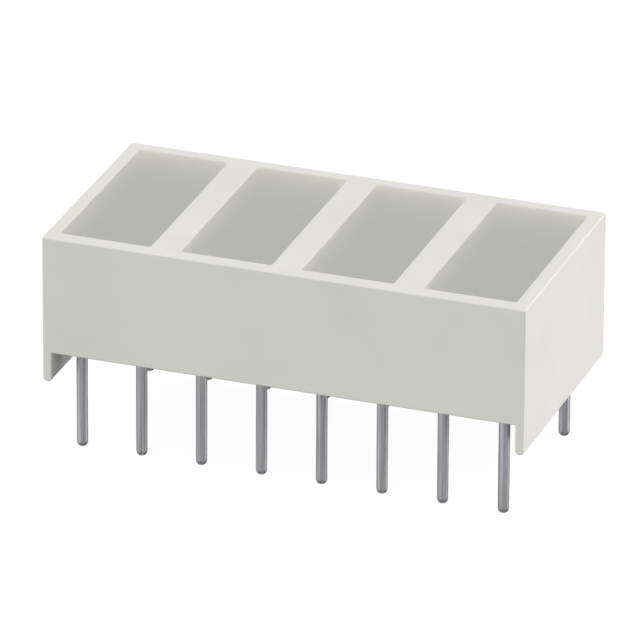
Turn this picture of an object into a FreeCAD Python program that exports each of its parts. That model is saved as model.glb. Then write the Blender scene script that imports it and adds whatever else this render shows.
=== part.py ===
"""Light bar display: rectangular light areas in one white reflector housing, on two rows of wire leads.

The origin is the centre of the plane that the housing's two feet stand on, midway between the lead rows.
X runs along the package, Y across it and Z up, out of the lit face. All sizes are in millimetres.
"""
import FreeCAD, Part
import os
from math import pi

import Sketcher
from FreeCAD import Placement, Rotation, Vector

PARTS_FOLDER = "parts"
BAR_COUNT = 4
LEADS_PER_ROW = 2 * BAR_COUNT
FRONT, BACK = -1, 1
TINY = 1e-4
SKETCH_HALF = 1.0  # half size of a shape as first drawn, before its dimensions hold it

# The driving sizes. Each can be changed by itself.
SIZES = (
    ("lead_pitch", 2.54, "lead to lead along a row"),
    ("row_spacing", 7.62, "lead row to lead row"),
    ("lead_diameter", 0.46, "tinned wire"),
    ("lead_reach", 3.20, "lead tip below the feet"),
    ("lead_head", 0.30, "lead above the board, through its solder"),
    ("lead_top_chamfer", 0.05, "chamfer of the upper end"),
    ("rib", 1.27, "white rib between two light areas"),
    ("end_rim", 0.575, "white rim at each end of the face"),
    ("side_rim", 0.595, "white rim along the two long sides of the face"),
    ("end_wall", 0.38, "end walls beside the board, and the feet they end in"),
    ("side_wall", 0.60, "long walls beside the board"),
    ("standoff", 1.25, "long walls' lower edge above the feet"),
    ("corner_round", 0.07, "upright outer edges"),
    ("rim_round", 0.08, "outer edge of the face"),
    ("foot_round", 0.17, "rounding of the feet, inside and outside"),
    ("cavity_depth", 3.415, "lit face down to the housing's inner shelf"),
    ("cavity_flank", 0.605, "how far a light area's long sides lean in"),
    ("cavity_corner", 0.12, "rounded corners of the light areas"),
    ("floor_web", 0.57, "housing left between a light area's floor and a lead pocket"),
    ("pocket_web", 0.09, "housing left between a lead pocket and the long wall"),
    ("pocket_gap", 0.06, "room round the solder land in a lead pocket"),
    ("pocket_headroom", 0.15, "room over a lead in its pocket"),
    ("board_thickness", 0.80, "circuit board"),
    ("board_clearance", 0.05, "board to housing, all round"),
    ("hole_clearance", 0.06, "lead to board hole, filled with solder"),
    ("land_ring", 0.19, "copper round each hole"),
    ("track_thickness", 0.035, "copper"),
    ("track_width", 0.30, "copper"),
    ("die_land", 0.70, "side of the copper square under a die"),
    ("wire_land", 0.40, "side of the copper square under a wire's far end"),
    ("solder_margin", 0.06, "copper left bare round the solder"),
    ("solder_rise", 0.22, "height of the solder cone"),
    ("solder_crown", 0.03, "solder's thickness round the lead at its top"),
    ("seal_thickness", 0.50, "sealing resin under the board"),
    ("seal_recess", 0.27, "resin surface above the long walls' lower edge"),
    ("die_side", 0.30, "light emitting die"),
    ("die_height", 0.25, "light emitting die"),
    ("die_offset", 1.35, "die from the package's centre line"),
    ("bond_thickness", 0.02, "silver resin under a die"),
    ("bond_margin", 0.04, "silver resin standing out round a die"),
    ("wire_diameter", 0.03, "gold bond wire"),
    ("wire_span", 0.85, "die centre to the wire's far end"),
    ("wire_rise", 0.16, "middle of the wire above the die"),
    ("wire_bend", 0.07, "bend radius of the wire"),
    ("wire_flat", 0.30, "level stretch of the wire"),
    ("ball_diameter", 0.09, "wire's ball on the die"),
    ("ball_height", 0.035, "wire's ball on the die"),
    ("stitch_length", 0.12, "wire's flattened far end"),
    ("stitch_width", 0.05, "wire's flattened far end"),
    ("stitch_height", 0.025, "wire's flattened far end"),
)

# Sizes and places that follow from the driving ones.
PLACES = (
    ("bar_pitch", "2 * sizes.lead_pitch"),
    ("bar_breadth", "bar_pitch - sizes.rib"),
    ("package_length", "bar_pitch * (bars - 1) + bar_breadth + 2 * sizes.end_rim"),
    ("lead_radius", "sizes.lead_diameter / 2"),
    ("hole_radius", "lead_radius + sizes.hole_clearance"),
    ("land_radius", "hole_radius + sizes.land_ring"),
    ("pocket_radius", "land_radius + sizes.pocket_gap"),
    ("recess_width", "sizes.row_spacing + 2 * (pocket_radius + sizes.pocket_web)"),
    ("recess_length", "package_length - 2 * sizes.end_wall"),
    ("package_width", "recess_width + 2 * sizes.side_wall"),
    ("bar_length", "package_width - 2 * sizes.side_rim"),
    ("floor_length", "sizes.row_spacing - 2 * (pocket_radius + sizes.floor_web)"),
    ("floor_breadth", "bar_breadth - 2 * sizes.cavity_flank"),
    ("seal_bottom", "sizes.standoff + sizes.seal_recess"),
    ("board_bottom", "seal_bottom + sizes.seal_thickness"),
    ("board_top", "board_bottom + sizes.board_thickness"),
    ("shelf", "board_top + sizes.track_thickness"),
    ("face", "shelf + sizes.cavity_depth"),
    ("lead_top", "board_top + sizes.lead_head"),
    ("pocket_height", "sizes.lead_head - sizes.track_thickness + sizes.pocket_headroom"),
    ("die_bottom", "shelf + sizes.bond_thickness"),
    ("die_top", "die_bottom + sizes.die_height"),
)

doc = FreeCAD.newDocument("light_bar_display")
nodes = []


# Helpers for the sheets and for plain solids.


def fill_sheets():
    """Writes the driving sizes to one sheet and what follows from them to another."""
    sizes = doc.addObject("Spreadsheet::Sheet", "sizes")
    for row, (alias, value, use) in enumerate(SIZES, start=1):
        sizes.set(f"A{row}", alias)
        sizes.set(f"B{row}", str(value))
        sizes.set(f"C{row}", use)
        sizes.setAlias(f"B{row}", alias)
    places = doc.addObject("Spreadsheet::Sheet", "places")
    places.set("A1", "bars")
    places.set("B1", str(BAR_COUNT))
    places.setAlias("B1", "bars")
    for row, (alias, formula) in enumerate(PLACES, start=2):
        places.set(f"A{row}", alias)
        places.set(f"B{row}", f"={formula}")
        places.setAlias(f"B{row}", alias)
    doc.recompute()
    return sizes, places


def bind(item, **formulas):
    """Ties properties of an object to the sheets."""
    for name, formula in formulas.items():
        item.setExpression(name, formula)


def place(item, x="0", y="0", z="0"):
    """Ties an object's place to the sheets."""
    for axis, formula in (("x", x), ("y", y), ("z", z)):
        item.setExpression(f".Placement.Base.{axis}", formula)


def keep(item, label):
    """Names a finished sub-part. Its label is also the name of its file."""
    item.Label = label
    nodes.append(item)
    return item


def block(name, length, width, height, x="0", y="0", z="0"):
    """A box centred on x and y that stands on z."""
    box = doc.addObject("Part::Box", name)
    bind(box, Length=length, Width=width, Height=height)
    place(box, f"{x} - ({length}) / 2", f"{y} - ({width}) / 2", z)
    return box


def rod(name, radius, height, x="0", y="0", z="0"):
    """An upright cylinder that stands on z."""
    cylinder = doc.addObject("Part::Cylinder", name)
    bind(cylinder, Radius=radius, Height=height)
    place(cylinder, x, y, z)
    return cylinder


def group(name, items):
    """Several separate solids kept as one shape."""
    compound = doc.addObject("Part::Compound", name)
    compound.Links = items
    return compound


def fuse(name, items):
    """Joins solids into one."""
    joined = doc.addObject("Part::MultiFuse", name)
    joined.Shapes = items
    return joined


def cut(name, base, tool):
    """Takes one shape out of another."""
    result = doc.addObject("Part::Cut", name)
    result.Base = base
    result.Tool = tool
    return result


# Helpers for bodies and their sketches.


def new_body(name):
    """An empty body."""
    return doc.addObject("PartDesign::Body", name)


def origin_item(body, role):
    """One of a body's own origin planes or axes."""
    return next(item for item in body.Origin.OriginFeatures if item.Role == role)


def new_sketch(body, name, role="XY_Plane", height="0"):
    """A sketch on one of the body's origin planes, moved along that plane's normal."""
    sketch = body.newObject("Sketcher::SketchObject", name)
    sketch.AttachmentSupport = [(origin_item(body, role), "")]
    sketch.MapMode = "FlatFace"
    sketch.setExpression(".AttachmentOffset.Base.z", height)
    return sketch


def dimension(sketch, title, kind, targets, guess, formula):
    """A named dimension tied to the sheets."""
    index = sketch.addConstraint(Sketcher.Constraint(kind, *targets, guess))
    sketch.renameConstraint(index, title)
    sketch.setExpression(f"Constraints.{title}", formula)


def draw_rectangle(sketch, length, width):
    """A rectangle centred on the sketch's origin."""
    half = SKETCH_HALF
    corners = [Vector(x, y, 0) for x, y in ((-half, -half), (half, -half), (half, half), (-half, half))]
    for start, end in zip(corners, corners[1:] + corners[:1]):
        sketch.addGeometry(Part.LineSegment(start, end), False)
    for line in range(4):
        sketch.addConstraint(Sketcher.Constraint("Coincident", line, 2, (line + 1) % 4, 1))
        direction = "Vertical" if line % 2 else "Horizontal"
        sketch.addConstraint(Sketcher.Constraint(direction, line))
    sketch.addConstraint(Sketcher.Constraint("Symmetric", 0, 1, 1, 2, -1, 1))
    dimension(sketch, "length", "DistanceX", (0, 1, 0, 2), 2 * half, length)
    dimension(sketch, "width", "DistanceY", (1, 1, 1, 2), 2 * half, width)


def draw_circle(sketch, radius):
    """A circle about the sketch's origin."""
    sketch.addGeometry(Part.Circle(Vector(0, 0, 0), Vector(0, 0, 1), SKETCH_HALF), False)
    sketch.addConstraint(Sketcher.Constraint("Coincident", 0, 3, -1, 1))
    dimension(sketch, "radius", "Radius", (0,), SKETCH_HALF, radius)


def draw_first_pair(sketch, radius):
    """Circles at the first lead of the front row and of the back row."""
    away = 2 * SKETCH_HALF
    for circle, side in enumerate((FRONT, BACK)):
        centre = Vector(-away, side * away, 0)
        sketch.addGeometry(Part.Circle(centre, Vector(0, 0, 1), SKETCH_HALF), False)
        dimension(sketch, f"radius_{circle}", "Radius", (circle,), SKETCH_HALF, radius)
        dimension(sketch, f"along_{circle}", "DistanceX", (circle, 3, -1, 1), away, FIRST_LEAD)
        ends = (circle, 3, -1, 1) if side == FRONT else (-1, 1, circle, 3)
        dimension(sketch, f"across_{circle}", "DistanceY", ends, away, "sizes.row_spacing / 2")


def pad(body, name, sketch, height):
    """Material from the sketch along its normal."""
    feature = body.newObject("PartDesign::Pad", name)
    feature.Profile = sketch
    bind(feature, Length=height)
    doc.recompute()


def pocket_up(body, name, sketch, height):
    """Material taken away from the sketch upwards. It has to make the body lighter."""
    before = body.Shape.Volume
    feature = body.newObject("PartDesign::Pocket", name)
    feature.Profile = sketch
    feature.Reversed = True
    bind(feature, Length=height)
    doc.recompute()
    if feature.Shape.Volume > before - TINY:
        raise ValueError(f"{name} cuts nothing")
    return feature


def repeat_along(body, name, feature, pitch, count):
    """Copies of a feature along the package."""
    pattern = body.newObject("PartDesign::LinearPattern", name)
    pattern.Originals = [feature]
    pattern.Direction = (origin_item(body, "X_Axis"), [""])
    pattern.Mode = "Spacing"
    bind(pattern, Offset=pitch, Occurrences=count)
    body.Tip = pattern
    doc.recompute()


def edges_where(shape, test):
    """Names of the edges whose box passes the test."""
    return [f"Edge{number}" for number, edge in enumerate(shape.Edges, start=1) if test(edge.BoundBox)]


def round_edges(body, name, edges, radius):
    """A fillet on the named edges of the body's last feature."""
    last = body.Tip
    feature = body.newObject("PartDesign::Fillet", name)
    feature.Base = (last, edges)
    bind(feature, Radius=radius)
    doc.recompute()


def near(first, second):
    """Whether two lengths agree."""
    return abs(first - second) < TINY


# Where the leads and light areas stand.

FIRST_LEAD = f"{LEADS_PER_ROW - 1} / 2 * sizes.lead_pitch"


def bar_x(bar):
    """Middle of a light area along the package."""
    return f"{2 * bar - (BAR_COUNT - 1)} / 2 * places.bar_pitch"


def row_y(side):
    """One of the two lead rows."""
    return f"{side} * sizes.row_spacing / 2"


def lead_spots():
    """Each lead's number and place: along the front row, then back along the other row."""
    for number in range(1, 2 * LEADS_PER_ROW + 1):
        front = number <= LEADS_PER_ROW
        column = number - 1 if front else 2 * LEADS_PER_ROW - number
        x = f"{2 * column - (LEADS_PER_ROW - 1)} / 2 * sizes.lead_pitch"
        yield number, x, row_y(FRONT if front else BACK)


def die_stations():
    """Each die's number, bar, row side and hand: the hand is where its wire goes along the package.

    Bars face each other in pairs, which puts like leads side by side.
    """
    number = 0
    for bar in range(BAR_COUNT):
        for side in (FRONT, BACK):
            number += 1
            yield number, bar, side, (1 if bar % 2 == 0 else -1)


# The pieces.


def draw_lead(sketch, sizes, places):
    """Half of a lead's section: a round tip about the axis, a straight side and a chamfered top.

    The lines are first drawn at the sheets' values, which the dimensions then hold.
    """
    tip, side, slope, top, axis = range(5)
    radius = places.lead_radius
    low = radius - sizes.lead_reach
    high = places.lead_top
    chamfer = sizes.lead_top_chamfer
    bend = Part.Circle(Vector(0, low, 0), Vector(0, 0, 1), radius)
    sketch.addGeometry(Part.ArcOfCircle(bend, -pi / 2, 0), False)
    spots = [
        Vector(radius, low, 0),
        Vector(radius, high - chamfer, 0),
        Vector(radius - chamfer, high, 0),
        Vector(0, high, 0),
        Vector(0, -sizes.lead_reach, 0),
    ]
    for start, end in zip(spots, spots[1:]):
        sketch.addGeometry(Part.LineSegment(start, end), False)
    add = sketch.addConstraint
    add(Sketcher.Constraint("Tangent", tip, 2, side, 1))
    for line, following in ((side, slope), (slope, top), (top, axis)):
        add(Sketcher.Constraint("Coincident", line, 2, following, 1))
    add(Sketcher.Constraint("Coincident", axis, 2, tip, 1))
    add(Sketcher.Constraint("PointOnObject", tip, 3, -2))
    add(Sketcher.Constraint("PointOnObject", axis, 1, -2))
    add(Sketcher.Constraint("Vertical", axis))
    add(Sketcher.Constraint("Vertical", side))
    add(Sketcher.Constraint("Horizontal", top))
    dimension(sketch, "radius", "Radius", (tip,), radius, "places.lead_radius")
    dimension(sketch, "reach", "DistanceY", (tip, 1, -1, 1), sizes.lead_reach, "sizes.lead_reach")
    dimension(sketch, "top", "DistanceY", (-1, 1, top, 1), high, "places.lead_top")
    dimension(sketch, "chamfer_in", "DistanceX", (slope, 2, slope, 1), chamfer, "sizes.lead_top_chamfer")
    dimension(sketch, "chamfer_down", "DistanceY", (slope, 1, slope, 2), chamfer, "sizes.lead_top_chamfer")


def make_leads(sizes, places):
    """Straight wire leads with a round lower end and a chamfered upper one."""
    leads = []
    for number, x, y in lead_spots():
        body = new_body(f"lead_body_{number:02d}")
        sketch = new_sketch(body, f"lead_section_{number:02d}", role="XZ_Plane")
        draw_lead(sketch, sizes, places)
        wire = body.newObject("PartDesign::Revolution", f"lead_wire_{number:02d}")
        wire.Profile = sketch
        wire.ReferenceAxis = (sketch, ["V_Axis"])
        wire.Angle = 360
        place(body, x, y)
        leads.append(keep(body, f"lead_{number:02d}"))
    return leads


def make_cores():
    """The tapered spaces of the light areas, from the board up to the face, with rounded corners."""
    cores = []
    for bar in range(BAR_COUNT):
        body = new_body(f"core_{bar + 1}")
        wedge = body.newObject("PartDesign::AdditiveWedge", f"core_taper_{bar + 1}")
        wedge.Placement = Placement(Vector(0, 0, 0), Rotation(Vector(1, 0, 0), 90))
        for low, high, size in (
            ("Xmin", "Xmax", "places.floor_breadth"),
            ("Zmin", "Zmax", "places.floor_length"),
            ("X2min", "X2max", "places.bar_breadth"),
            ("Z2min", "Z2max", "places.bar_length"),
        ):
            bind(wedge, **{low: f"-{size} / 2", high: f"{size} / 2"})
        wedge.Ymin = 0
        bind(wedge, Ymax="places.face - places.board_top")
        doc.recompute()
        box = wedge.Shape.BoundBox
        slanted = edges_where(wedge.Shape, lambda edge: near(edge.ZLength, box.ZLength))
        round_edges(body, f"core_corners_{bar + 1}", slanted, "sizes.cavity_corner")
        place(body, bar_x(bar), "0", "places.board_top")
        cores.append(body)
    return cores


def make_housing(cores, sizes, places):
    """One moulding: walls, feet at both ends, a recess for the board and a space for each light area."""
    body = new_body("housing_body")
    outline = new_sketch(body, "housing_outline")
    draw_rectangle(outline, "places.package_length", "places.package_width")
    pad(body, "housing_block", outline, "places.face")

    under = new_sketch(body, "housing_under")
    draw_rectangle(under, "places.recess_length", "2 * places.package_width")
    pocket_up(body, "housing_feet", under, "sizes.standoff")

    recess = new_sketch(body, "housing_recess_outline")
    draw_rectangle(recess, "places.recess_length", "places.recess_width")
    pocket_up(body, "housing_recess", recess, "places.shelf")

    shelf = new_sketch(body, "housing_shelf", height="places.shelf")
    draw_first_pair(shelf, "places.pocket_radius")
    pockets = pocket_up(body, "housing_lead_pockets", shelf, "places.pocket_height")
    repeat_along(body, "housing_lead_pocket_row", pockets, "sizes.lead_pitch", f"{LEADS_PER_ROW}")

    end = places.package_length / 2
    inner = places.recess_length / 2
    side = places.package_width / 2

    def foot_edge(box):
        """A foot's long lower edge, inside or outside."""
        at_end = near(abs(box.XMin), end) or near(abs(box.XMin), inner)
        return near(box.ZMax, 0) and near(box.XLength, 0) and at_end

    def upright_edge(box):
        """An upright outer edge."""
        return near(abs(box.Center.x), end) and near(abs(box.Center.y), side) and box.ZLength > TINY

    def skirt_edge(box):
        """A long wall's lower outer edge."""
        level = near(box.ZMax, sizes.standoff) and near(box.ZMin, sizes.standoff)
        return near(abs(box.Center.y), side) and level

    def face_edge(box):
        """The outer edge of the lit face."""
        outside = max(abs(box.Center.x) / end, abs(box.Center.y) / side)
        return near(box.ZMin, places.face) and outside > 0.9

    def outer_edge(box):
        """An edge that the moulding's corners round off together."""
        return upright_edge(box) or skirt_edge(box)

    round_edges(body, "housing_feet_round", edges_where(body.Shape, foot_edge), "sizes.foot_round")
    round_edges(body, "housing_corners", edges_where(body.Shape, outer_edge), "sizes.corner_round")
    round_edges(body, "housing_rim", edges_where(body.Shape, face_edge), "sizes.rim_round")
    keep(cut("housing_cut", body, group("cores", cores)), "housing")


def make_board():
    """The circuit board with a hole for each lead."""
    body = new_body("board_body")
    gap = "2 * sizes.board_clearance"
    outline = new_sketch(body, "board_outline", height="places.board_bottom")
    draw_rectangle(outline, f"places.recess_length - {gap}", f"places.recess_width - {gap}")
    pad(body, "board_sheet", outline, "sizes.board_thickness")
    holes = new_sketch(body, "board_hole_pair", height="places.board_bottom")
    draw_first_pair(holes, "places.hole_radius")
    drilled = pocket_up(body, "board_holes", holes, "sizes.board_thickness")
    repeat_along(body, "board_hole_row", drilled, "sizes.lead_pitch", f"{LEADS_PER_ROW}")
    keep(body, "circuit_board")


def make_track(name, bar, side, toward, land, reach):
    """A copper track from a lead's land to a square land in the light area.

    toward is the side of the bar that the lead is on, and reach is where the square's middle lies.
    """
    lead_x = f"{bar_x(bar)} + {toward} * sizes.lead_pitch / 2"
    run = "sizes.row_spacing / 2 - sizes.die_offset + sizes.track_width / 2"
    arm = f"abs(sizes.lead_pitch / 2 - ({reach}))"
    level = {"height": "sizes.track_thickness", "z": "places.board_top"}
    across = f"{side} * (sizes.row_spacing / 2 - ({run}) / 2)"
    along = f"{bar_x(bar)} + {toward} * (sizes.lead_pitch / 2 - ({arm}) / 2)"
    die_y = f"{side} * sizes.die_offset"
    pieces = [
        rod(f"{name}_ring", "places.land_radius", x=lead_x, y=row_y(side), **level),
        block(f"{name}_run", "sizes.track_width", run, x=lead_x, y=across, **level),
        block(f"{name}_arm", arm, "sizes.track_width", x=along, y=die_y, **level),
        block(f"{name}_land", land, land, x=f"{bar_x(bar)} + {toward} * ({reach})", y=die_y, **level),
    ]
    return fuse(name, pieces)


def make_tracks(barrels):
    """Copper on the board: each die has a track to the lead on its own side and one to its wire's lead."""
    tracks = []
    for number, bar, side, hand in die_stations():
        tracks.append(make_track(f"die_track_{number}", bar, side, -hand, "sizes.die_land", "0"))
        reach = "sizes.wire_span"
        tracks.append(make_track(f"wire_track_{number}", bar, side, hand, "sizes.wire_land", reach))
    return keep(cut("tracks_cut", group("tracks", tracks), barrels), "copper_tracks")


def make_barrels():
    """Upright cylinders as wide as the board's holes, from its lower side to the top of the copper."""
    height = "sizes.board_thickness + sizes.track_thickness"
    rods = [
        rod(f"barrel_{number:02d}", "places.hole_radius", height, x, y, "places.board_bottom")
        for number, x, y in lead_spots()
    ]
    return group("barrels", rods)


def make_solder(barrels, all_leads):
    """Solder: a cone on each land and a sleeve that fills the hole round the lead."""
    cones = []
    for number, x, y in lead_spots():
        cone = doc.addObject("Part::Cone", f"solder_cone_{number:02d}")
        bind(
            cone,
            Radius1="places.land_radius - sizes.solder_margin",
            Radius2="places.lead_radius + sizes.solder_crown",
            Height="sizes.solder_rise",
        )
        place(cone, x, y, "places.shelf")
        cones.append(fuse(f"solder_{number:02d}", [cone, barrels.Links[number - 1]]))
    keep(cut("solder_cut", group("solder", cones), all_leads), "solder_joints")


def make_seal(all_leads):
    """Resin that closes the recess under the board, round the leads."""
    layer = block(
        "seal_layer",
        "places.recess_length",
        "places.recess_width",
        "sizes.seal_thickness",
        z="places.seal_bottom",
    )
    keep(cut("seal_cut", layer, all_leads), "back_seal")


def make_die_bonds():
    """Silver resin under the dice."""
    side_length = "sizes.die_side + 2 * sizes.bond_margin"
    pads = [
        block(
            f"bond_{number}",
            side_length,
            side_length,
            "sizes.bond_thickness",
            bar_x(bar),
            f"{side} * sizes.die_offset",
            "places.shelf",
        )
        for number, bar, side, hand in die_stations()
    ]
    return keep(group("bonds", pads), "die_bonds")


def make_dice():
    """Light emitting dice, two to a light area."""
    size = ("sizes.die_side", "sizes.die_side", "sizes.die_height")
    dice = []
    for number, bar, side, hand in die_stations():
        spot = (bar_x(bar), f"{side} * sizes.die_offset", "places.die_bottom")
        dice.append(keep(block(f"die_{number}", *size, *spot), f"led_die_{number}"))
    return dice


def draw_wire_path(sketch, sizes, places):
    """Up from the ball, level, and down to the far end, with two tangent bends.

    The lines are first drawn near the sheets' values, which the dimensions then hold.
    """
    add = sketch.addConstraint
    up, bend_one, level, bend_two, down = range(5)
    bend = sizes.wire_bend
    start = places.die_top + sizes.ball_height / 2
    top = places.die_top + sizes.wire_rise
    end = places.shelf + sizes.stitch_height / 2
    turn = bend + sizes.wire_flat
    sketch.addGeometry(Part.LineSegment(Vector(0, start, 0), Vector(0, top - bend, 0)), False)
    first = Part.Circle(Vector(bend, top - bend, 0), Vector(0, 0, 1), bend)
    sketch.addGeometry(Part.ArcOfCircle(first, pi / 2, pi), False)
    sketch.addGeometry(Part.LineSegment(Vector(bend, top, 0), Vector(turn, top, 0)), False)
    second = Part.Circle(Vector(turn, top - bend, 0), Vector(0, 0, 1), bend)
    sketch.addGeometry(Part.ArcOfCircle(second, pi / 4, pi / 2), False)
    foot = Vector(sizes.wire_span, end, 0)
    sketch.addGeometry(Part.LineSegment(Vector(turn + bend, top - bend, 0), foot), False)
    add(Sketcher.Constraint("PointOnObject", up, 1, -2))
    add(Sketcher.Constraint("Vertical", up))
    add(Sketcher.Constraint("Tangent", up, 2, bend_one, 2))
    add(Sketcher.Constraint("Tangent", bend_one, 1, level, 1))
    add(Sketcher.Constraint("Horizontal", level))
    add(Sketcher.Constraint("Tangent", level, 2, bend_two, 2))
    add(Sketcher.Constraint("Tangent", bend_two, 1, down, 1))
    from_ball = "places.die_top + sizes.ball_height / 2"
    dimension(sketch, "start", "DistanceY", (-1, 1, up, 1), start, from_ball)
    dimension(sketch, "top", "DistanceY", (-1, 1, level, 1), top, "places.die_top + sizes.wire_rise")
    dimension(sketch, "level", "DistanceX", (level, 1, level, 2), sizes.wire_flat, "sizes.wire_flat")
    dimension(sketch, "bend_one", "Radius", (bend_one,), bend, "sizes.wire_bend")
    dimension(sketch, "bend_two", "Radius", (bend_two,), bend, "sizes.wire_bend")
    dimension(sketch, "span", "DistanceX", (-1, 1, down, 2), sizes.wire_span, "sizes.wire_span")
    dimension(sketch, "end", "DistanceY", (-1, 1, down, 2), end, "places.shelf + sizes.stitch_height / 2")


def make_bond_wires(sizes, places):
    """Gold wires from the top of each die to the copper beside it."""
    wires = []
    for number, bar, side, hand in die_stations():
        body = new_body(f"wire_body_{number}")
        ball = new_sketch(body, f"ball_section_{number}", height="places.die_top")
        draw_circle(ball, "sizes.ball_diameter / 2")
        pad(body, f"ball_{number}", ball, "sizes.ball_height")
        path = new_sketch(body, f"wire_path_{number}", role="XZ_Plane")
        draw_wire_path(path, sizes, places)
        section = new_sketch(
            body, f"wire_section_{number}", height="places.die_top + sizes.ball_height / 2"
        )
        draw_circle(section, "sizes.wire_diameter / 2")
        doc.recompute()
        wire = body.newObject("PartDesign::AdditivePipe", f"wire_{number}")
        wire.Profile = section
        wire.Spine = (path, [f"Edge{edge}" for edge in range(1, 6)])
        doc.recompute()
        stitch = new_sketch(body, f"stitch_outline_{number}", height="places.shelf")
        stitch.setExpression(".AttachmentOffset.Base.x", "sizes.wire_span")
        draw_rectangle(stitch, "sizes.stitch_length", "sizes.stitch_width")
        pad(body, f"stitch_{number}", stitch, "sizes.stitch_height")
        if hand < 0:
            body.Placement = Placement(Vector(0, 0, 0), Rotation(Vector(0, 0, 1), 180))
        place(body, bar_x(bar), f"{side} * sizes.die_offset")
        wires.append(keep(body, f"bond_wire_{number}"))
    return wires


def make_fills(cores, inside):
    """Milky resin that fills each light area flush with the face, cast round what stands on the board."""
    for bar, core in enumerate(cores, start=1):
        keep(cut(f"fill_cut_{bar}", core, inside), f"window_fill_{bar}")


def check_and_write():
    """Stops if anything in the document failed, then writes each sub-part to its own file."""
    doc.recompute()
    for item in doc.Objects:
        if "Invalid" in item.State or "Error" in item.State:
            raise ValueError(f"{item.Name} failed")
    os.makedirs(PARTS_FOLDER, exist_ok=True)
    for node in nodes:
        shape = node.Shape
        if shape.isNull() or not shape.isValid() or not shape.Solids:
            raise ValueError(f"{node.Label} has no sound shape")
        shape.exportStep(f"{PARTS_FOLDER}/{node.Label}.step")
        box = shape.BoundBox
        spans = f"{box.XLength:.3f} x {box.YLength:.3f} x {box.ZLength:.3f}"
        print(f"{node.Label}: {len(shape.Solids)} solid(s), {shape.Volume:.4f} mm3, {spans}")


sizes_sheet, places_sheet = fill_sheets()
leads_made = make_leads(sizes_sheet, places_sheet)
leads_group = group("all_leads", leads_made)
cores_made = make_cores()
make_housing(cores_made, sizes_sheet, places_sheet)
make_board()
barrels_group = make_barrels()
tracks_made = make_tracks(barrels_group)
make_solder(barrels_group, leads_group)
make_seal(leads_group)
bonds_made = make_die_bonds()
dice_made = make_dice()
wires_made = make_bond_wires(sizes_sheet, places_sheet)
doc.recompute()
make_fills(cores_made, group("inside", [tracks_made, bonds_made, *dice_made, *wires_made]))
check_and_write()
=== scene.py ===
# %% [markdown]
# # Light bar display
# This scene dresses a small light bar display for a circuit board. One white moulding holds four
# rectangular light areas of milky resin, and sixteen tinned wires stand under it in two rows.
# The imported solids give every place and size, so the lesson starts by loading them as a frame and
# measuring them. What follows makes surfaces with numpy, gives each finish its own material, and
# lights the part as a small object on a pale sheet.

# %% Load the frame
from math import cos, pi, radians, sin

import bpy
import numpy as np
from mathutils import Matrix, Vector


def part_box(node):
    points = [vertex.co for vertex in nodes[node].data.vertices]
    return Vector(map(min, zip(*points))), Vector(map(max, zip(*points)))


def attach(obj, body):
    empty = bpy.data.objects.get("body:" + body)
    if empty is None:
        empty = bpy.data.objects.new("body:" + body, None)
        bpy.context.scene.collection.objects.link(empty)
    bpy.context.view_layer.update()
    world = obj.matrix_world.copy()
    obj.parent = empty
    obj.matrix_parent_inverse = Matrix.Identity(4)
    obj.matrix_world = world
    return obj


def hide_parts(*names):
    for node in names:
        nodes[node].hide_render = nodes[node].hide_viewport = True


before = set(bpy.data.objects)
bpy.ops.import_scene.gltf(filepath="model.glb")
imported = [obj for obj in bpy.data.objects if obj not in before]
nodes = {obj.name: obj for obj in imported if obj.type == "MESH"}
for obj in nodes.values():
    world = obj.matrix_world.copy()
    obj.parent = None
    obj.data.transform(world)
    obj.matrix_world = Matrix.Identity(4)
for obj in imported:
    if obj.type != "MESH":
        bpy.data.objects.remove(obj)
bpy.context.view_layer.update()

MM = 0.001

# %% [markdown]
# A CAD node keeps its place in its vertices. Its box is enough for a wire. A light area tapers, so
# the outlines of its face and its floor are read from the vertices at its highest and lowest level.


# %% Measure the frame
def points_of(node):
    """All vertices of a CAD node in metres, one row each."""
    mesh = nodes[node].data
    flat = np.empty(3 * len(mesh.vertices), np.float32)
    mesh.vertices.foreach_get("co", flat)
    return flat.reshape(-1, 3).astype(float)


def box_of(node):
    """Lowest and highest corner of a CAD node, as two arrays."""
    low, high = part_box(node)
    return np.array(low), np.array(high)


def named(start):
    """The CAD nodes whose names begin with start, in their order."""
    return sorted(name for name in nodes if name.startswith(start))


windows = named("window_fill_")
leads = named("lead_")
print("light areas", len(windows), "leads", len(leads))

SAME_LEVEL = 0.001 * MM
fill_points = points_of(windows[0])
at_face = fill_points[fill_points[:, 2] > fill_points[:, 2].max() - SAME_LEVEL]
at_floor = fill_points[fill_points[:, 2] < fill_points[:, 2].min() + SAME_LEVEL]
face_half = np.ptp(at_face[:, :2], axis=0) / 2
floor_half = np.ptp(at_floor[:, :2], axis=0) / 2
print("light area in mm", 2 * face_half / MM, "its floor", 2 * floor_half / MM)

table_level = box_of(leads[0])[0][2]
face_level = box_of("housing")[1][2]
print("levels in mm: table", round(table_level / MM, 3), "face", round(face_level / MM, 3))

# %% [markdown]
# Colours are written as sRGB hex values, as a paint chart or a colour picker gives them. A shader
# wants linear light, so one function turns them. One more function adds a node to a tree with its
# settings and its links, which keeps each material down to a few readable lines.


# %% Colour and node helpers
def linear(hex_colour):
    """sRGB hex to linear RGBA: c / 12.92 in the dark end, ((c + 0.055) / 1.055) ** 2.4 above it."""
    channels = np.array([int(hex_colour[i:i + 2], 16) for i in (1, 3, 5)]) / 255
    light = np.where(channels <= 0.04045, channels / 12.92, ((channels + 0.055) / 1.055) ** 2.4)
    return (*light.tolist(), 1.0)


def add(tree, kind, links=None, sockets=None, **settings):
    """Adds a node. settings are its properties, sockets its plain inputs, links its linked ones."""
    node = tree.nodes.new(kind)
    for name, value in settings.items():
        setattr(node, name, value)
    for name, value in (sockets or {}).items():
        node.inputs[name].default_value = value
    for name, source in (links or {}).items():
        tree.links.new(source, node.inputs[name])
    return node


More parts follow.
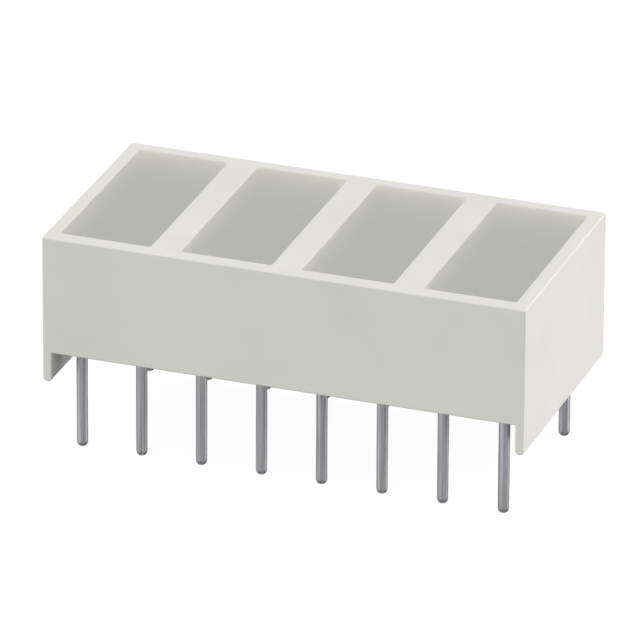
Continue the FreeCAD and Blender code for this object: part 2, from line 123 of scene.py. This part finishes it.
def new_material(name):
    """An empty material with a Principled shader. Returns the material, its tree and the shader."""
    material = bpy.data.materials.new(name)
    material.use_nodes = True
    tree = material.node_tree
    return material, tree, tree.nodes["Principled BSDF"]


def per_mm(size_mm):
    """Scale of a texture whose features are size_mm across, when it reads metres."""
    return 1 / (size_mm * MM)


# %% [markdown]
# Nearly every finish here is a moulded, cast, plated or etched surface with two things in common:
# soft clouds of tone and a fine grain. So one function makes them all. It reads object coordinates,
# which are metres in the shared frame, so that a size in millimetres on the part is a size in
# millimetres in the texture. Noise of that size picks a tone between two, and finer noise moves the
# gloss and the relief. Drawing a wire pulls its marks out lengthwise, which one Mapping node does.


# %% One recipe for finishes
NOISE_SPAN = (0.3, 0.7)      # a noise texture seldom leaves this part of its range from 0 to 1


def mottled(name, tones, tone_mm, gloss, grain_mm, relief_mm, strength=0.3, drawn=1.0, **constants):
    """A material with clouds of tone and a finer grain in its gloss and relief.

    tones are two hex colours and gloss two roughness values. drawn is how many times longer than
    wide the marks are, along z. constants are plain sockets of the shader, with _ for a space.
    """
    material, tree, shader = new_material(name)
    place = add(tree, "ShaderNodeTexCoord").outputs["Object"]
    stretched = add(tree, "ShaderNodeMapping", {"Vector": place}, {"Scale": (1, 1, 1 / drawn)}).outputs[0]
    clouds = add(tree, "ShaderNodeTexNoise", {"Vector": stretched},
                 {"Scale": per_mm(tone_mm), "Detail": 3.0, "Roughness": 0.5}).outputs["Fac"]
    grain = add(tree, "ShaderNodeTexNoise", {"Vector": stretched},
                {"Scale": per_mm(grain_mm), "Detail": 2.0, "Roughness": 0.6}).outputs["Fac"]
    tone = add(tree, "ShaderNodeValToRGB", {"Fac": clouds})
    for element, noise_value, hex_colour in zip(tone.color_ramp.elements, NOISE_SPAN, tones):
        element.position = noise_value
        element.color = linear(hex_colour)
    rough = add(tree, "ShaderNodeMapRange", {"Value": grain},
                {"From Min": NOISE_SPAN[0], "From Max": NOISE_SPAN[1],
                 "To Min": gloss[0], "To Max": gloss[1]})
    bump = add(tree, "ShaderNodeBump", {"Height": grain},
               {"Strength": strength, "Distance": relief_mm * MM})
    tree.links.new(tone.outputs["Color"], shader.inputs["Base Color"])
    tree.links.new(rough.outputs["Result"], shader.inputs["Roughness"])
    tree.links.new(bump.outputs["Normal"], shader.inputs["Normal"])
    for socket, value in constants.items():
        shader.inputs[socket.replace("_", " ")].default_value = value
    return material


# %% [markdown]
# The housing is moulded in white thermoplastic polyester, filled with titanium white so that no
# light leaks between the areas. The mould is finely eroded, so the surface is almost matt: its gloss
# is spread wide and held low, over a grain of a few hundredths of a millimetre. A clean white
# moulding is never one flat tone: the melt leaves soft clouds a few millimetres across. The real
# grain would be finer than a pixel, so it is drawn at 0.06 mm, where it just breaks up the gloss.

# %% White polyester moulding
white_polyester = mottled("titanium_white_polyester", ("#E1E0DD", "#E5E4E1"), 3.0, (0.55, 0.67), 0.06,
                          relief_mm=0.004, strength=0.25, IOR=1.55, Specular_IOR_Level=0.22)
print(white_polyester.name, len(white_polyester.node_tree.nodes), "nodes")

# %% [markdown]
# Each light area is filled with epoxy that carries a fine white diffusant. From outside it looks
# grey and milky. Half of the light is scattered back at once by the diffusant near the face, which
# is the shader's diffuse half. The other half goes in, meets the white sides of the reflector where
# they come up to the face, and fades on its way down: the shader's clear half, with an absorbing
# volume behind it. That gives the soft pale margins along the far edges, from any side that one
# looks from, and hides what is at the bottom. A scattering volume would do it too, but it is slow
# and noisy.

# %% Milky resin
RESIN_ABSORPTION = 500      # per metre, so 2 mm of resin lets about a third of the light through
VOLUME_TONE = 0.4           # the volume node absorbs its density times one minus this

resin_face = mottled("milky_epoxy", ("#FBFDF6", "#FEFFFA"), 2.0, (0.28, 0.36), 0.08,
                     relief_mm=0.001, strength=0.05, IOR=1.1, Transmission_Weight=0.54,
                     Coat_Weight=0.85, Coat_IOR=1.5, Coat_Roughness=0.32)
fading = add(resin_face.node_tree, "ShaderNodeVolumeAbsorption",
             sockets={"Color": (VOLUME_TONE, VOLUME_TONE, VOLUME_TONE, 1.0),
                      "Density": RESIN_ABSORPTION / (1 - VOLUME_TONE)})
resin_face.node_tree.links.new(fading.outputs["Volume"],
                               resin_face.node_tree.nodes["Material Output"].inputs["Volume"])
resin_wall = mottled("white_wall_behind_epoxy", ("#FEEFD8", "#FFF4E0"), 2.0, (0.60, 0.70), 0.08,
                     relief_mm=0.001)
print(resin_face.name, resin_wall.name)

# %% [markdown]
# The leads are copper alloy wire, drawn through a die and tinned. Drawing leaves fine scratches
# along the wire, and dull tin is a mid grey metal with a broad shine. So the recipe is drawn out
# sixty times: the scratches are 0.1 mm apart round the wire and several millimetres long.

# %% Tinned wire
tinned_wire = mottled("dull_tinned_wire", ("#B1AFAF", "#FFFEFE"), 0.10, (0.46, 0.28), 0.10,
                      relief_mm=0.01, strength=0.7, drawn=60.0, Metallic=1.0)
print(tinned_wire.name)

# %% [markdown]
# The rest is inside or underneath. It is seen from below, or not at all, but a model that someone
# may open or cut gets its true finishes there too: a glass cloth board, etched copper, tin solder,
# dice of gallium crystal on silver filled resin, gold wire, and the resin poured in behind the board.

# %% Finishes inside and underneath
board_laminate = mottled("glass_cloth_laminate", ("#B4B083", "#C3BF95"), 0.5, (0.45, 0.60), 0.12,
                         relief_mm=0.006)
etched_copper = mottled("etched_copper", ("#B4744F", "#C88B66"), 0.6, (0.30, 0.45), 0.05,
                        relief_mm=0.002, Metallic=1.0)
tin_solder = mottled("tin_solder", ("#B9BABC", "#CFD0D1"), 0.4, (0.22, 0.34), 0.08,
                     relief_mm=0.004, Metallic=1.0)
sealing_epoxy = mottled("poured_sealing_epoxy", ("#8A8C8B", "#979998"), 2.5, (0.16, 0.26), 0.30,
                        relief_mm=0.004, IOR=1.5)
silver_epoxy = mottled("silver_filled_epoxy", ("#A9A9A8", "#BDBDBB"), 0.1, (0.45, 0.60), 0.02,
                       relief_mm=0.002, Metallic=0.8)
gallium_crystal = mottled("gallium_crystal", ("#96672E", "#AD7C3C"), 0.1, (0.25, 0.40), 0.03,
                          relief_mm=0.002, IOR=3.0)
drawn_gold = mottled("drawn_gold_wire", ("#D0A552", "#DDB566"), 0.1, (0.20, 0.30), 0.02,
                     relief_mm=0.001, Metallic=1.0)
print("materials so far", len(bpy.data.materials))

# %% [markdown]
# The new pieces here are all closed surfaces made of rings: a wire is circles along its axis, a
# casting is rounded rectangles from its floor to its face. So one function joins a stack of rings
# into a mesh. The first and the last ring shrink to a point each, which closes the ends.


# %% Rings to a mesh
CREASE_DEG = 40          # faces that meet at more than this keep a sharp edge
CORNER_POINTS = 10


def closed_surface(name, rings, low_end, high_end, materials, row_material=None):
    """A mesh through rings of points, with a point at each end.

    rings is an array of m rings by n points by 3, counter-clockwise seen from the high end. Ring i,
    point j is vertex i * n + j. The face between two rings joins j and j + 1, where n wraps to 0.
    row_material gives a material for each of the m + 1 rows of faces, the two ends included.
    """
    count, around = rings.shape[:2]
    points = np.concatenate([rings.reshape(-1, 3), [low_end, high_end]])
    here = np.arange(around)
    after = (here + 1) % around
    base = around * np.arange(count - 1)[:, None]
    quads = np.stack([base + here, base + after, base + around + after, base + around + here], axis=2)
    low, high = count * around, count * around + 1
    last = around * (count - 1)
    low_fan = np.stack([np.full(around, low), after, here], axis=1)
    high_fan = np.stack([last + here, last + after, np.full(around, high)], axis=1)
    faces = [*low_fan.tolist(), *quads.reshape(-1, 4).tolist(), *high_fan.tolist()]
    mesh = bpy.data.meshes.new(name)
    mesh.from_pydata(points.tolist(), [], faces)
    for material in materials:
        mesh.materials.append(material)
    if row_material is not None:
        mesh.polygons.foreach_set("material_index", np.repeat(row_material, around).astype(np.int32))
    mesh.polygons.foreach_set("use_smooth", np.ones(len(faces), bool))
    mesh.set_sharp_from_angle(angle=radians(CREASE_DEG))
    piece = bpy.data.objects.new(name, mesh)
    bpy.context.scene.collection.objects.link(piece)
    return piece


def rounded_rectangle(half, radius):
    """Outline of a rectangle with round corners, counter-clockwise, as n points by 2.

    Each point is a corner's centre plus radius times (cos a, sin a), where a runs through a
    quarter turn at each corner in its turn.
    """
    angle = np.linspace(0, pi / 2, CORNER_POINTS)[None, :] + (pi / 2 * np.arange(4))[:, None]
    signs = np.array([(1, 1), (-1, 1), (-1, -1), (1, -1)])
    centre = signs * (np.asarray(half) - radius)
    arc = radius * np.stack([np.cos(angle), np.sin(angle)], axis=2)
    return (centre[:, None, :] + arc).reshape(-1, 2)


# %% [markdown]
# A light area's casting has the form of its solid: a rounded rectangle of 8.89 by 3.81 mm at the
# face, and sides that lean in evenly down to the board. So its outline at any height is a weighted
# mean of those two. It stands clear of the housing by a few thousandths of a millimetre, so that no
# two surfaces coincide. The face is more rings, shrinking to the middle.

# %% Castings of the light areas
CORNER_ROUND = 0.12 * MM
CASTING_GAP = 0.004 * MM
SIDE_ROWS = 12
FACE_ROWS = 6


def make_casting(node):
    """The resin of one light area.

    Its outline is floor * (1 - t) + face * t, with t from 0 to 1 up the sides, and then face * s,
    with s from 1 down to 0 across the face.
    """
    low, high = box_of(node)
    middle = (low[:2] + high[:2]) / 2
    face_outline = rounded_rectangle(face_half - CASTING_GAP, CORNER_ROUND)
    floor_outline = rounded_rectangle(floor_half - CASTING_GAP, CORNER_ROUND)
    rise = np.linspace(0, 1, SIDE_ROWS)[:, None, None]
    shrink = np.linspace(1, 0, FACE_ROWS, endpoint=False)[1:, None, None]
    outline = np.concatenate([floor_outline * (1 - rise) + face_outline * rise, face_outline * shrink])
    heights = np.concatenate([low[2] + (high[2] - low[2]) * rise, np.full_like(shrink, high[2])])
    levels = np.broadcast_to(heights, (*outline.shape[:2], 1))
    rings = np.concatenate([outline + middle, levels], axis=2)
    piece = closed_surface(f"{node}_casting", rings, (*middle, low[2]), (*middle, high[2]),
                           [resin_face, resin_wall], [1] * SIDE_ROWS + [0] * FACE_ROWS)
    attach(piece, "root")
    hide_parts(node)
    return piece


castings = [make_casting(node) for node in windows]
print("castings", len(castings), "faces each", len(castings[0].data.polygons))

# %% [markdown]
# A lead is a surface of revolution: its profile runs up round the domed tip, along the straight
# wire and over a small chamfer. The tin coat was hot when it set, so its thickness wanders by a few
# thousandths of a millimetre. That is too little to measure on the part, but it makes the shine
# waver along the wire, so it is in the mesh and not only in the bump.


# %% Leads
AROUND = 48
TIP_ROWS = 10
WIRE_ROWS = 60
TOP_CHAMFER = 0.05 * MM
COAT_WANDER = 0.004 * MM
SLOW_WAVE = 0.9 * MM
FAST_WAVE = 0.37 * MM


def make_lead(number, node):
    """One tinned wire: points (r cos a, r sin a, z) about its axis.

    At the tip r = R cos e and z rises with R sin e. On the wire r is R plus the coat, the sum of two
    waves that run both round and along it. The coat stays at or below nought, inside the solid, and
    number shifts the waves, so that no two leads are alike.
    """
    low, high = box_of(node)
    middle = (low[:2] + high[:2]) / 2
    radius = (high[0] - low[0]) / 2
    rise = np.linspace(-pi / 2, 0, TIP_ROWS + 1)[1:]
    wire = np.linspace(low[2] + radius, high[2] - TOP_CHAMFER, WIRE_ROWS)[1:]
    across = np.concatenate([radius * np.cos(rise), np.full(len(wire), radius), [radius - TOP_CHAMFER]])
    level = np.concatenate([low[2] + radius + radius * np.sin(rise), wire, [high[2]]])
    angle = np.linspace(0, 2 * pi, AROUND, endpoint=False)
    slow = np.sin(2 * angle + number) * np.sin(level[:, None] / SLOW_WAVE + 2.1 * number)
    fast = np.sin(3 * angle - 1.7 * number) * np.sin(level[:, None] / FAST_WAVE + number)
    coat = COAT_WANDER * (0.6 * slow + 0.4 * fast - 1)
    on_wire = (across > radius - TOP_CHAMFER / 2)[:, None]
    width = across[:, None] + np.where(on_wire, coat, 0)
    rings = np.stack([
        middle[0] + width * np.cos(angle),
        middle[1] + width * np.sin(angle),
        np.broadcast_to(level[:, None], width.shape),
    ], axis=2)
    piece = closed_surface(f"{node}_wire", rings, (*middle, low[2]), (*middle, high[2]), [tinned_wire])
    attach(piece, "root")
    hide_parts(node)
    return piece


wires = [make_lead(number, node) for number, node in enumerate(leads)]
print("leads", len(wires), "faces each", len(wires[0].data.polygons))

# %% [markdown]
# Under the board the housing is filled with sealing resin. It was poured and has wetted what it
# touches, so it climbs a little way up the walls and along each lead. Seen from below that makes
# the soft rings which tell a poured surface from a cut one. The lower side is a grid of heights:
# each lead and each wall adds a rise that dies off as exp(-distance / reach).

# %% Sealing resin
SEAL_STEP = 0.10 * MM
CLIMB = 0.11 * MM
CLIMB_REACH = 0.12 * MM
POUR_CREASE_DEG = 60


def make_seal():
    """The sealing resin: a flat upper side, upright walls, and a lower side that climbs.

    The lower side lies at low - CLIMB * sum of exp(-distance / CLIMB_REACH), over the nearest wall
    and all leads.
    """
    low, high = box_of("back_seal")
    low[:2] += CASTING_GAP
    high[:2] -= CASTING_GAP
    counts = np.ceil((high - low)[:2] / SEAL_STEP).astype(int) + 1
    across, along = np.meshgrid(np.linspace(low[0], high[0], counts[0]),
                                np.linspace(low[1], high[1], counts[1]), indexing="ij")
    to_wall = np.minimum.reduce([across - low[0], high[0] - across,
                                 along - low[1], high[1] - along])
    distances = [to_wall]
    for node in leads:
        lead_low, lead_high = box_of(node)
        middle = (lead_low + lead_high) / 2
        to_axis = np.hypot(across - middle[0], along - middle[1])
        distances.append(np.maximum(to_axis - (lead_high[0] - lead_low[0]) / 2, 0))
    climb = CLIMB * sum(np.exp(-distance / CLIMB_REACH) for distance in distances)
    below = np.stack([across, along, low[2] - climb], axis=2).reshape(-1, 3)
    above = np.stack([across, along, np.full_like(across, high[2])], axis=2).reshape(-1, 3)
    index = np.arange(len(below)).reshape(counts)
    corners = [index[:-1, :-1], index[:-1, 1:], index[1:, 1:], index[1:, :-1]]
    quads = np.stack(corners, axis=2).reshape(-1, 4)
    rim = np.concatenate([index[:, 0], index[-1, 1:], index[-2::-1, -1], index[0, -2:0:-1]])
    after = np.roll(rim, -1)
    walls = np.stack([rim, after, after + len(below), rim + len(below)], axis=1)
    mesh = bpy.data.meshes.new("back_seal_pour")
    faces = np.concatenate([quads, quads[:, ::-1] + len(below), walls])
    mesh.from_pydata(np.concatenate([below, above]).tolist(), [], faces.tolist())
    mesh.materials.append(sealing_epoxy)
    mesh.polygons.foreach_set("use_smooth", np.ones(len(faces), bool))
    mesh.set_sharp_from_angle(angle=radians(POUR_CREASE_DEG))
    pour = bpy.data.objects.new("back_seal_pour", mesh)
    bpy.context.scene.collection.objects.link(pour)
    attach(pour, "root")
    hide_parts("back_seal")
    return pour


pour = make_seal()
print("sealing resin faces", len(pour.data.polygons))

# %% [markdown]
# The other solids have the right shape already, so they only get their finish.


# %% Solids that stay
def dress(node, material):
    """Puts a material in each slot of a CAD node."""
    for slot in nodes[node].material_slots:
        slot.material = material


dress("housing", white_polyester)
dress("circuit_board", board_laminate)
dress("copper_tracks", etched_copper)
dress("solder_joints", tin_solder)
dress("die_bonds", silver_epoxy)
for die in named("led_die_"):
    dress(die, gallium_crystal)
for bond_wire in named("bond_wire_"):
    dress(bond_wire, drawn_gold)

# %% [markdown]
# The photo is lit by soft lamps in a dark room. The right wall is as bright as the face, the front
# wall gets a quarter less light, and the inside of the foot is much darker. So the strongest lamp
# stands low at the right and a little behind, where the foot's inside sees little of it. The face
# has its light from one at the front and one high at the left: a lamp that lit the face and the
# right wall together would draw a bright line along the rounded edge between them, and the photo
# has none. The leads are round mirrors: each strip along a lead shows what lies in one direction, a
# little below the horizon. Their even grey asks for weak light from low down on both sides, as a
# pale table sends up.
# A world shader holds all the lamps. The direction that it is asked for comes as Generated
# coordinates. Its dot product with a lamp's direction is 1 at the lamp's middle and falls off around
# it, and a smooth step from a chosen edge up to 1 makes that a blurred disc. The discs are added up.

# %% Light
# Azimuth from the front towards the right and elevation, in degrees, then edge, strength and tint.
SOFT_LAMPS = (
    (115, 13, 0.75, 4.38, "#FFFAFC"),
    (0, 45, 0.50, 1.07, "#F9FDE8"),
    (-25, 15, 0.40, 0.73, "#F9F8FF"),
    (-90, 50, 0.60, 0.91, "#FAF7FF"),
    (-160, 25, 0.70, 0.60, "#F4F7FC"),
    (-90, -10, 0.40, 0.44, "#F6F9FF"),
    (40, -25, 0.85, 0.43, "#F4F3FF"),
    (80, -25, 0.85, 0.30, "#D8ECFF"),
    (0, -90, 0.85, 0.70, "#F6F9FF"),
)

world = bpy.data.worlds.new("lamps_round_the_table")
bpy.context.scene.world = world
world.use_nodes = True
sky = world.node_tree
direction = add(sky, "ShaderNodeTexCoord").outputs["Generated"]


def soft_disc(azimuth_deg, elevation_deg, edge):
    """1 in the lamp's direction, 0 where the dot product with it is below edge: 3 t^2 - 2 t^3."""
    side, up = radians(azimuth_deg), radians(elevation_deg)
    to_lamp = (sin(side) * cos(up), -cos(side) * cos(up), sin(up))
    nearness = add(sky, "ShaderNodeVectorMath", {0: direction}, {1: to_lamp}, operation="DOT_PRODUCT")
    return add(sky, "ShaderNodeMapRange", {"Value": nearness.outputs["Value"]}, {"From Min": edge},
               interpolation_type="SMOOTHSTEP").outputs["Result"]


light = add(sky, "ShaderNodeRGB").outputs["Color"]
light.default_value = (0, 0, 0, 1)
for azimuth_deg, elevation_deg, edge, strength, tint in SOFT_LAMPS:
    glow = tuple(strength * channel for channel in linear(tint))
    # The Mix node's inputs 6 and 7 are its colours A and B, and its output 2 is their colour.
    sum_so_far = add(sky, "ShaderNodeMix", {"Factor": soft_disc(azimuth_deg, elevation_deg, edge), 6: light},
                     {7: glow}, data_type="RGBA", blend_type="ADD")
    light = sum_so_far.outputs[2]
sky.links.new(light, sky.nodes["Background"].inputs["Color"])
print("soft lamps", len(SOFT_LAMPS))

# %% [markdown]
# The part stands on a plain pale sheet, lit from behind as product photographers do to lose the
# shadow, in a tent of white cloth. Both glow by themselves, so hardly any shadow stays under the part
# and the background is white from every side. They are seen by the camera only and block no light:
# what reaches the part comes from the lamps alone. The tent is half a sphere, and its rings are
# circles of radius R cos(e) at height R sin(e), where e is the elevation.

# %% Sheet and tent
SHEET_SIZE = 1.5
SHEET_ALBEDO = 0.12
SHEET_GLOW = 0.93
TENT_RADIUS = 0.7        # wide enough to hold the camera
TENT_SINK = 0.02         # its closed bottom lies below the sheet
TENT_RINGS = 16
TENT_AROUND = 48


def glowing(name, albedo, glow):
    """A matt material that gives off an even white light of its own."""
    material, _, shader = new_material(name)
    shader.inputs["Base Color"].default_value = (albedo, albedo, albedo, 1.0)
    shader.inputs["Roughness"].default_value = 1.0
    shader.inputs["Specular IOR Level"].default_value = 0.0
    shader.inputs["Emission Color"].default_value = (1.0, 1.0, 1.0, 1.0)
    shader.inputs["Emission Strength"].default_value = glow
    return material


def for_the_camera_only(piece):
    """Stage that neither lights nor shades the part."""
    piece.visible_diffuse = False
    piece.visible_glossy = False
    piece.visible_transmission = False
    piece.visible_volume_scatter = False
    piece.visible_shadow = False


def make_sheet():
    """A square about the origin, at the level of the lead tips."""
    half = SHEET_SIZE / 2
    corners = np.array([(-half, -half), (half, -half), (half, half), (-half, half)])
    points = np.column_stack([corners, np.full(4, table_level)])
    mesh = bpy.data.meshes.new("sheet")
    mesh.from_pydata(points.tolist(), [], [(0, 1, 2, 3)])
    mesh.materials.append(glowing("backlit_white_sheet", SHEET_ALBEDO, SHEET_GLOW))
    sheet = bpy.data.objects.new("sheet", mesh)
    bpy.context.scene.collection.objects.link(sheet)
    for_the_camera_only(sheet)


def make_tent():
    """Half a sphere: points R (cos e cos a, cos e sin a, sin e) over the sheet's middle."""
    rise = np.linspace(0, pi / 2, TENT_RINGS, endpoint=False)[:, None]
    turn = np.linspace(0, 2 * pi, TENT_AROUND, endpoint=False)
    floor = table_level - TENT_SINK
    rings = TENT_RADIUS * np.stack([
        np.cos(rise) * np.cos(turn),
        np.cos(rise) * np.sin(turn),
        np.sin(rise) * np.ones_like(turn),
    ], axis=2) + (0, 0, floor)
    cloth = glowing("white_tent_cloth", 0, 1)
    tent = closed_surface("tent", rings, (0, 0, floor), (0, 0, floor + TENT_RADIUS), [cloth])
    for_the_camera_only(tent)


make_sheet()
make_tent()

# %% [markdown]
# The camera stands where a fit to the photo's corners puts it: 19.5 degrees to the right of the
# front, 24.5 degrees up and far away, with a long lens. Its three axes are worked out from those
# angles, and the small shifts bring the part to its place in the picture.

# %% Camera
AZIMUTH_DEG = 19.53
ELEVATION_DEG = 24.51
ROLL_DEG = 0.35
DISTANCE = 375 * MM
SHIFT_RIGHT = -0.198 * MM
SHIFT_UP = -3.787 * MM
SENSOR_MM = 36.0
PICTURE_WIDTH_PX = 640
FOCAL_PX = 9449
NEAREST = 0.01
FARTHEST = 20.0

azimuth, elevation, roll = (radians(value) for value in (AZIMUTH_DEG, ELEVATION_DEG, ROLL_DEG))
level_right = Vector((cos(azimuth), sin(azimuth), 0))
back = Vector((sin(azimuth) * cos(elevation), -cos(azimuth) * cos(elevation), sin(elevation)))
level_up = back.cross(level_right)
camera_right = cos(roll) * level_right + sin(roll) * level_up
camera_up = cos(roll) * level_up - sin(roll) * level_right
face_middle = Vector((0, 0, face_level))
spot = face_middle + SHIFT_RIGHT * camera_right + SHIFT_UP * camera_up + DISTANCE * back

camera = bpy.data.objects.new("camera", bpy.data.cameras.new("camera"))
bpy.context.scene.collection.objects.link(camera)
turned = Matrix((camera_right, camera_up, back)).transposed()
camera.matrix_world = Matrix.Translation(spot) @ turned.to_4x4()
camera.data.sensor_width = SENSOR_MM
camera.data.lens = FOCAL_PX / PICTURE_WIDTH_PX * SENSOR_MM
camera.data.clip_start = NEAREST
camera.data.clip_end = FARTHEST
bpy.context.scene.camera = camera
bpy.context.scene.view_settings.view_transform = "Standard"
print("lens in mm", round(camera.data.lens, 1), "camera in mm", [round(value / MM, 1) for value in spot])
